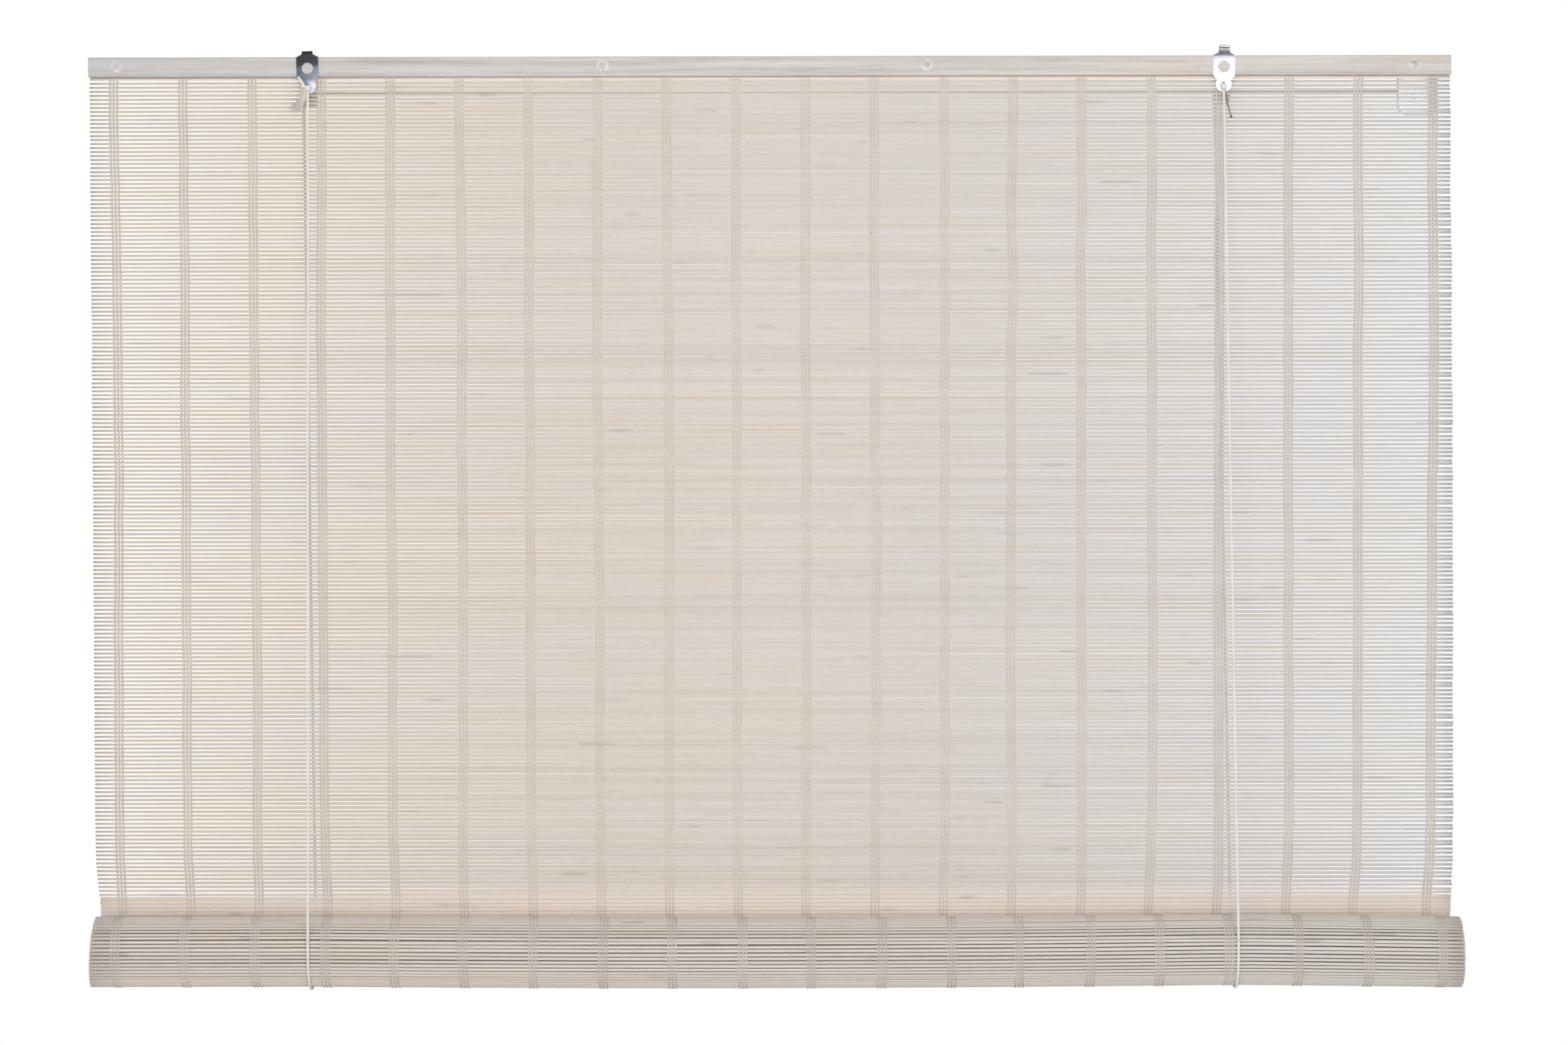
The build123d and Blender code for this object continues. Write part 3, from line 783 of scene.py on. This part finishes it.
def add_sky():
    """A soft bluish sky for the surfaces, and plain white for the camera, for mirrors and through glass."""
    world = bpy.data.worlds.new("studio")
    bpy.context.scene.world = world
    world.use_nodes = True
    tree = world.node_tree
    soft = tree.nodes["Background"]
    soft.inputs["Color"].default_value = (0.93, 0.95, 1.0, 1.0)
    soft.inputs["Strength"].default_value = 0.52
    white = tree.nodes.new("ShaderNodeBackground")
    white.inputs["Color"].default_value = (1, 1, 1, 1)
    white.inputs["Strength"].default_value = 1.0
    path = tree.nodes.new("ShaderNodeLightPath")
    seen = path.outputs["Is Camera Ray"]
    for ray in ("Is Glossy Ray", "Is Transmission Ray"):
        either = tree.nodes.new("ShaderNodeMath")
        either.operation = "MAXIMUM"
        tree.links.new(seen, either.inputs[0])
        tree.links.new(path.outputs[ray], either.inputs[1])
        seen = either.outputs[0]
    blend = tree.nodes.new("ShaderNodeMixShader")
    tree.links.new(seen, blend.inputs[0])
    tree.links.new(soft.outputs[0], blend.inputs[1])
    tree.links.new(white.outputs[0], blend.inputs[2])
    tree.links.new(blend.outputs[0], tree.nodes["World Output"].inputs["Surface"])


def lamp(name, place, target, size, power, colour=(1.0, 1.0, 0.99)):
    """A rectangular lamp at place that shines at target."""
    data = bpy.data.lights.new(name, "AREA")
    data.shape = "RECTANGLE"
    data.size, data.size_y = size
    data.energy = power
    data.color = colour
    obj = bpy.data.objects.new(name, data)
    bpy.context.collection.objects.link(obj)
    obj.location = place
    way = Vector(target) - Vector(place)
    obj.rotation_euler = way.to_track_quat("-Z", "Y").to_euler()


add_camera()
add_floor()
add_sky()
lamp("front", (0.1, -3.2, -0.1), MAT_MIDDLE, size=(2.8, 1.5), power=32.5, colour=(1.0, 1.0, 0.985))
lamp("key", (-0.5, -2.6, 1.2), MAT_MIDDLE, size=(2.6, 1.0), power=4)
lamp("low", (0, -2.7, -0.95), (0, 0, 0.1), size=(2.8, 0.6), power=12)
lamp("behind", (0, 2.6, 1.0), MAT_MIDDLE, size=(3.0, 1.4), power=14)

# Cards that only mirrors see, so that the bright hangers show the tones of the photograph's
CARD_Y = -0.3
CARD_BACK_Y = -0.304
CARD_HALF_HEIGHT = 0.08
BOW_STEPS = 8
DARK = (0.040, 0.044, 0.044)
WHITE = (1.12, 1.14, 1.16)
BRIGHT = (1.32, 1.32, 1.32)


def card(name, faces, stops):
    """A card of four-sided faces that gives off its own tone, which changes along x."""
    mesh = bpy.data.meshes.new(name)
    points = [point for face in faces for point in face]
    mesh.from_pydata(points, [], [tuple(range(4 * k, 4 * k + 4)) for k in range(len(faces))])
    obj = bpy.data.objects.new(name, mesh)
    bpy.context.collection.objects.link(obj)
    for ray in ("camera", "diffuse", "transmission", "volume_scatter", "shadow"):
        setattr(obj, f"visible_{ray}", False)
    m = Finish(f"{name}_tone", rough=0.9, spec=0.0)
    m.colour((0.0, 0.0, 0.0, 1.0))
    m.set(m.shader.inputs["Emission Color"], m.ramp(m.along_x(), stops))
    m.shader.inputs["Emission Strength"].default_value = 1.0
    m.material.cycles.emission_sampling = "NONE"
    mesh.materials.append(m.material)


def even(tone):
    """Stops of a card that has one tone all over."""
    return [(0.0, tone), (1.0, tone)]


def upright(points, y=CARD_Y):
    """A face on the wall of cards in front of the hangers, from its x and z."""
    return [(x, y, z) for x, z in points]


def upright_box(x0, x1, z0, z1, y=CARD_Y):
    """A face between these limits on the wall of cards."""
    return upright([(x0, z0), (x1, z0), (x1, z1), (x0, z1)], y)


def bow(x0, x1, low, high):
    """Faces of a bow of cards over a hanger, between two angles above the horizon."""
    faces = []
    turns = [radians(low + (high - low) * k / BOW_STEPS) for k in range(BOW_STEPS + 1)]
    for t0, t1 in zip(turns, turns[1:]):
        corners = ((t0, x0), (t0, x1), (t1, x1), (t1, x0))
        faces.append([(x, CARD_Y * cos(t), -CARD_Y * sin(t)) for t, x in corners])
    return faces


def white_card(label, x0, x1, tone):
    """The white wall behind the other cards."""
    wall = upright_box(x0, x1, -CARD_HALF_HEIGHT, CARD_HALF_HEIGHT, CARD_BACK_Y)
    card(f"card_{label}_white", [wall], even(tone))


def left_cards():
    """A dark upper part and a blue-grey lower part, with a slanting border that shows under the hole."""
    x0, x1 = -0.60, -0.30
    border_x = -0.4365
    border_z = 0.0092
    dark_faces = [
        upright([(x0, 0.010), (-0.4467, 0.0128), (x1, 0.0300), (x0, 0.0400)]),
        upright([(x0, 0.0380), (x1, 0.0290), (x1, 0.0600), (x0, 0.0600)]),
    ]
    darks = [(0.13, DARK), (0.14, (0.055, 0.058, 0.062))]
    card("card_left_dark", dark_faces + bow(x0, x1, 11, 188), darks)
    blue_faces = [
        upright_box(x0, border_x, -0.06, border_z),
        upright([(x0, border_z), (border_x, border_z), (x1, 0.0045), (x0, 0.0105)]),
        upright([(x0, 0.0100), (border_x, border_z), (x1, 0.0045), (x1, 0.0300)]),
    ]
    blues = [(0.118, (0.11, 0.115, 0.12)), (0.132, (0.22, 0.255, 0.30)), (0.146, (0.46, 0.53, 0.60))]
    card("card_left_blue", blue_faces, blues)


def right_cards():
    """Dark lines above a white lower part, and a grey top, which the shoulders and the tongue mirror."""
    x0, x1 = 0.28, 0.54
    card("card_right_shoulder", [upright_box(x0, x1, 0.0292, 0.0350)], even(DARK))
    band = [upright_box(x0, x1, 0.0368, 0.0530)] + bow(x0, x1, 9.5, 34)
    card("card_right_band", band, even((0.09, 0.10, 0.13)))
    card("card_right_top", bow(x0, x1, 112, 188), even((0.30, 0.33, 0.38)))


white_card("left", -0.62, -0.28, WHITE)
white_card("right", 0.26, 0.545, BRIGHT)
# This card glows for mirrors only: it paints a bright reflection on the lock's saddle behind the mat
white_card("lock", 0.55, 0.70, BRIGHT)
left_cards()
right_cards()


# The lift cords: laid cord, its strands and its lay, and how fine its lines are
CORD_STRANDS = 3
CORD_LAY = 0.009
CORD_FLUTE = 0.07
CORD_FLUTE_POWER = 0.7
CORD_STEP = 0.0011
CORD_SIDES = 12
FINE_STEP = 0.0001
SAME_PLACE = 1e-7


def smooth_line(points):
    """Close points of the NURBS line through these control points."""
    data = bpy.data.curves.new("route", "CURVE")
    data.dimensions = "3D"
    data.resolution_u = 12
    spline = data.splines.new("NURBS")
    spline.points.add(len(points) - 1)
    for point, place in zip(spline.points, points):
        point.co = (*place, 1.0)
    spline.order_u = 3
    spline.use_endpoint_u = True
    obj = bpy.data.objects.new("route", data)
    bpy.context.collection.objects.link(obj)
    mesh = bpy.data.meshes.new_from_object(obj)
    line = [v.co.copy() for v in mesh.vertices]
    bpy.data.objects.remove(obj)
    bpy.data.meshes.remove(mesh)
    return line


def resample(line, step):
    """The same line with points at even distances, and its length."""
    points = np.array(line)
    apart = np.linalg.norm(np.diff(points, axis=0), axis=1) > SAME_PLACE
    points = points[np.concatenate([[True], apart])]
    far = np.concatenate([[0], np.cumsum(np.linalg.norm(np.diff(points, axis=0), axis=1))])
    count = max(4, int(round(far[-1] / step)) + 1)
    even_far = np.linspace(0, far[-1], count)
    return np.stack([np.interp(even_far, far, points[:, k]) for k in range(3)], axis=-1), far[-1]


def directions(points):
    """The direction of a line at each of its points."""
    tangent = np.gradient(points, axis=0)
    return tangent / np.linalg.norm(tangent, axis=1)[:, None]


def cord_mesh(name, line):
    """A laid cord: a round tube with strands that wind round it once in each lay."""
    points, length = resample(line, CORD_STEP)
    tangent = directions(points)
    u = np.cross(tangent, [1.0, 0.001, 0.0])
    flat = np.linalg.norm(u, axis=1) < 0.2
    u[flat] = np.cross(tangent[flat], [0.0, 1.0, 0.0])
    u /= np.linalg.norm(u, axis=1)[:, None]
    v = np.cross(tangent, u)
    far = np.linspace(0, length, len(points))
    a = np.arange(CORD_SIDES) * 2 * pi / CORD_SIDES
    around = a[None, :] + 2 * pi * far[:, None] / CORD_LAY
    crown = np.abs(np.cos(CORD_STRANDS / 2 * a))[None, :] ** CORD_FLUTE_POWER
    swell = CORD_RADIUS * (1 - CORD_FLUTE + CORD_FLUTE * crown)
    ring = (
        points[:, None, :]
        + u[:, None, :] * (np.cos(around) * swell)[:, :, None]
        + v[:, None, :] * (np.sin(around) * swell)[:, :, None]
    )
    return tubes(name, ring[None], cord_mat), points, length


def thin_strands(name, routes, radii, material, rings=22, sides=8):
    """One object of thin strands along these routes, each tapering from the first radius to the last."""
    share = np.linspace(0, 1, rings)
    radius = np.linspace(*radii, rings)[:, None, None]
    a = np.arange(sides) * 2 * pi / sides
    shapes = []
    for route in routes:
        fine, _ = resample(smooth_line(route), FINE_STEP)
        fine_share = np.linspace(0, 1, len(fine))
        line = np.stack([np.interp(share, fine_share, fine[:, k]) for k in range(3)], axis=-1)
        tangent = directions(line)
        across = np.cross(tangent, [0.02, 1.0, 0.1])
        across /= np.linalg.norm(across, axis=1)[:, None]
        out = np.cross(tangent, across)
        ring = across[:, None, :] * np.cos(a)[None, :, None] + out[:, None, :] * np.sin(a)[None, :, None]
        shapes.append(line[:, None, :] + ring * radius)
    return tubes(name, np.stack(shapes), material)


# The knots and tails. Their routes start from the knot
WRAP_TURNS = 2.6
WRAP_POINTS = 34
WRAP_RADIUS = CORD_RADIUS * 0.82
WRAP_SPREAD = 0.0017
WRAP_FLATTER = 0.85
WRAP_END_SPREAD = 0.0011
WRAP_END_POINTS = 3
WRAP_TOP = 0.0023
WRAP_LENGTH = 0.0050
FRAY_COUNT = 15

LEFT_OVER = (
    (
        (-0.0084, 0.0010, 0.0098),
        (-0.0064, -0.0005, 0.0071),
        (-0.0040, -0.0012, 0.0034),
        (-0.0030, -0.0008, 0.0004),
    ),
)
LEFT_BESIDE = (
    (
        (-0.0050, 0.0004, 0.0040),
        (-0.0056, -0.0002, 0.0010),
        (-0.0052, -0.0006, -0.0040),
        (-0.0072, 0.0, -0.0126),
    ),
    (
        (-0.0034, -0.0004, 0.0022),
        (-0.0034, -0.0010, -0.0020),
        (-0.0032, -0.0008, -0.0070),
        (-0.0052, 0.0, -0.0122),
    ),
    (
        (-0.0016, 0.0002, 0.0010),
        (-0.0020, -0.0008, -0.0036),
        (-0.0026, -0.0002, -0.0088),
        (-0.0034, 0.0, -0.0116),
    ),
)
RIGHT_TAIL = (((0.0006, 0, -0.0006), (0.0022, 0, -0.0125), (0.0064, 0.0006, -0.0265)),)
RIGHT_SEAL = (((0.0062, 0.0006, -0.0260), (0.0067, 0.0006, -0.0276)),)


def from_knot(knot, routes):
    """These routes, moved to the knot."""
    return [[knot + Vector(place) for place in route] for route in routes]


def wraps(knot):
    """The route of the turns of a knot, which close in at both ends."""
    route = []
    for k in range(WRAP_POINTS):
        share = k / (WRAP_POINTS - 1)
        a = 2 * pi * WRAP_TURNS * share
        inner = WRAP_END_POINTS < k < WRAP_POINTS - WRAP_END_POINTS
        spread = WRAP_SPREAD if inner else WRAP_END_SPREAD
        height = WRAP_TOP - WRAP_LENGTH * share
        route.append(knot + Vector((spread * cos(a), WRAP_FLATTER * spread * sin(a), height)))
    return route


def frayed_tail(knot):
    """The routes of a tail's loose strands, which open like a fan."""
    routes = []
    for n in range(FRAY_COUNT):
        spread = n / (FRAY_COUNT - 1)
        foot_z = -0.0178 - 0.0026 * sin(pi * spread)
        foot = (-0.0172 + 0.0125 * spread, rng.uniform(-0.0006, 0.0012), foot_z)
        middle = (-0.0066 + 0.0040 * spread, rng.uniform(-0.0008, 0.0006), -0.0098)
        routes.append([(-0.0012, 0, -0.0010), (-0.0024, -0.0004, -0.0052), middle, foot])
    return from_knot(knot, routes)


def knot_piece(side, name, routes, radii, material, **fineness):
    """Thin strands that stand for part of the knot node of this side."""
    obj = thin_strands(name, routes, radii, material, **fineness)
    attach(obj, "headrail", f"cord_knot_{side}")
    return obj


def knot_pieces(side, knot, tail_routes, tail_radii, tail_material):
    """The wraps of a knot and its tail."""
    radii = (WRAP_RADIUS, WRAP_RADIUS)
    wrap = knot_piece(side, f"knot_{side}", [wraps(knot)], radii, cord_mat, rings=64, sides=10)
    tail = knot_piece(side, f"tail_{side}", tail_routes, tail_radii, tail_material)
    return [wrap, tail]


def left_knot(knot):
    """A knot with a frayed tail, cord over the lobe's lower left edge and doubled cord beside it."""
    pieces = knot_pieces("left", knot, frayed_tail(knot), (0.0005, 0.00024), frayed_mat)
    over = from_knot(knot, LEFT_OVER)
    beside = from_knot(knot, LEFT_BESIDE)
    fine = {"rings": 40, "sides": 12}
    pieces.append(knot_piece("left", "knot_left_over", over, (0.0010, 0.0011), cord_mat, **fine))
    pieces.append(knot_piece("left", "knot_left_beside", beside, (0.0013, 0.0014), knot_mat, **fine))
    return pieces


def right_knot(knot):
    """A knot with a short stiff tail that hangs beside the cord, its end sealed dark. The grey of the tail
    is painted shade on the white cord.
    """
    pieces = knot_pieces("right", knot, from_knot(knot, RIGHT_TAIL), (0.00075, 0.0006), tail_painted_shade)
    seal = from_knot(knot, RIGHT_SEAL)
    fine = {"rings": 5, "sides": 12}
    pieces.append(knot_piece("right", "tail_right_seal", seal, (0.0011, 0.0010), seal_mat, **fine))
    return pieces


# The runs of each cord: down in front, round the roll, up behind, and along the rail to the lock
LOOP_RADIUS = ROLL_RADIUS + CORD_GAP + CORD_RADIUS
LOOP_FRONT = AXIS_DEPTH - LOOP_RADIUS
LOOP_BACK = BAND_REACH + CORD_GAP + CORD_RADIUS
LOOP_BEND = 0.004
LOOP_SLACK = 1.004
LOOP_STEPS = 12
WHEEL_STEPS = 6
WHEEL_LEAD = 0.012
RUN_Z = WHEEL_Z + GROOVE_RADIUS
RUN_START = 0.0039
RUN_END = 0.0089
FRONT_START = 0.0035
STRAIGHT = (0.2, 0.5, 0.8, 0.9998)


def at(x, drop, depth):
    """A point beside the hanging mat."""
    y, z = hung(drop, depth)
    return Vector((x, float(y), float(z)))


def declare(obj, body, node, start, length, path):
    """Move obj with this body and hide the node of this stretch of cord. The length is not used."""
    attach(obj, body, node)
    tuple(start)
    [tuple(p) for p in path]


def shorten(obj, top, foot):
    """Give a straight run its own copy of its mesh. The reach from top to foot is worked out but not used.
    """
    reach = abs((foot - Vector(top)).dot(Vector(UP)))
    tuple(top)
    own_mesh(obj)


def front_run(side, knot, loop_x):
    """From the knot straight down to where the loop begins."""
    foot = at(loop_x, AXIS_DROP - CORD_LEAD, LOOP_FRONT)
    line = [knot.lerp(foot, k) for k in (FRONT_START, *STRAIGHT)]
    obj, points, length = cord_mesh(f"cord_{side}_front", line)
    declare(obj, "headrail", f"lift_cord_{side}_front", points[0], length, points)
    shorten(obj, points[0], foot)


def loop_run(side, loop_x):
    """Under the roll: a quarter circle in front, and one behind that ends against the mat."""
    middle_back = LOOP_BACK - LOOP_RADIUS
    line = [at(loop_x, AXIS_DROP - CORD_LEAD, LOOP_FRONT), at(loop_x, AXIS_DROP - LOOP_BEND, LOOP_FRONT)]
    for k in range(LOOP_STEPS + 1):
        a = pi * k / LOOP_STEPS
        depth = (AXIS_DEPTH if a < pi / 2 else middle_back) - LOOP_RADIUS * cos(a)
        line.append(at(loop_x, AXIS_DROP + LOOP_RADIUS * sin(a) * LOOP_SLACK, depth))
    line += [at(loop_x, AXIS_DROP - LOOP_BEND, LOOP_BACK), at(loop_x, AXIS_DROP - CORD_LEAD, LOOP_BACK)]
    obj, points, length = cord_mesh(f"cord_{side}_loop", smooth_line(line))
    declare(obj, "cord_loops", f"lift_cord_{side}_loop", points[0], length, points)


def rear_run(side, hanger_x, loop_x, run_y):
    """Straight up behind the mat to the pulley wheel."""
    top = Vector((hanger_x - GROOVE_RADIUS, run_y, WHEEL_Z - REAR_RUN_DROP))
    foot = at(loop_x, AXIS_DROP - CORD_LEAD, LOOP_BACK)
    line = [top.lerp(foot, k) for k in (0.0, *STRAIGHT)]
    obj, points, length = cord_mesh(f"cord_{side}_rear", line)
    declare(obj, "headrail", f"lift_cord_{side}_rear", points[0], length, points)
    shorten(obj, points[0], foot)


def quarter(x, y, way):
    """Points over a quarter of a wheel's groove: way is -1 up to its top and 1 down from it."""
    route = []
    for k in range(WHEEL_STEPS + 1):
        a = pi / 2 * k / WHEEL_STEPS
        across, up = (cos(a), sin(a)) if way < 0 else (sin(a), cos(a))
        route.append(Vector((x + way * GROOVE_RADIUS * across, y, WHEEL_Z + GROOVE_RADIUS * up)))
    return route


def rail_run(side, hanger_x, run_y):
    """Over the pulley wheel, along the rail and over the lock's guide wheel."""
    line = [Vector((hanger_x - GROOVE_RADIUS, run_y, WHEEL_Z - RUN_START))]
    line += quarter(hanger_x, run_y, -1)
    for x in (hanger_x + WHEEL_LEAD, (hanger_x + GUIDE_X) / 2, GUIDE_X - WHEEL_LEAD):
        line.append(Vector((x, run_y, RUN_Z)))
    line += quarter(GUIDE_X, run_y, 1)
    line.append(Vector((GUIDE_X + GROOVE_RADIUS, run_y, WHEEL_Z - RUN_END)))
    obj, points, length = cord_mesh(f"cord_{side}_rail_run", smooth_line(line))
    declare(obj, "headrail", f"lift_cord_{side}_rail_run", points[0], length, points)


for side, hanger_x, turn, loop_x, run_y in HANGERS:
    tie_x = hanger_x + (-LOBE_DROP - TIE_RADIUS - WHEEL_Z) * tan(radians(turn))
    knot = Vector((tie_x, KNOT_Y, -LOBE_DROP - TIE_RADIUS))
    pieces = left_knot(knot) if side == "left" else right_knot(knot)
    front_run(side, knot, loop_x)
    loop_run(side, loop_x)
    rear_run(side, hanger_x, loop_x, run_y)
    rail_run(side, hanger_x, run_y)

# The mat and its threads get their own copies of their meshes
for obj in [slats, *threads]:
    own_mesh(obj)

# Finishes of the pieces that keep their CAD shape. The lock's saddle and screws are satin, in a near-white
# tone that paints light over their shade behind the mat
finishes = {"whitewashed_wood": wood_mat, "painted_tack": tack_mat, "steel": steel_mat, "nylon": nylon_mat}
for part in frame["record"]["subparts"]:
    material = finishes.get(part["material_slot"])
    if part["node"].startswith("cord_lock_s"):
        material = lock_painted_light_mat
    if material:
        for slot in frame["nodes"][part["node"]].material_slots:
            slot.material = material

bpy.context.scene.view_settings.view_transform = "Standard"
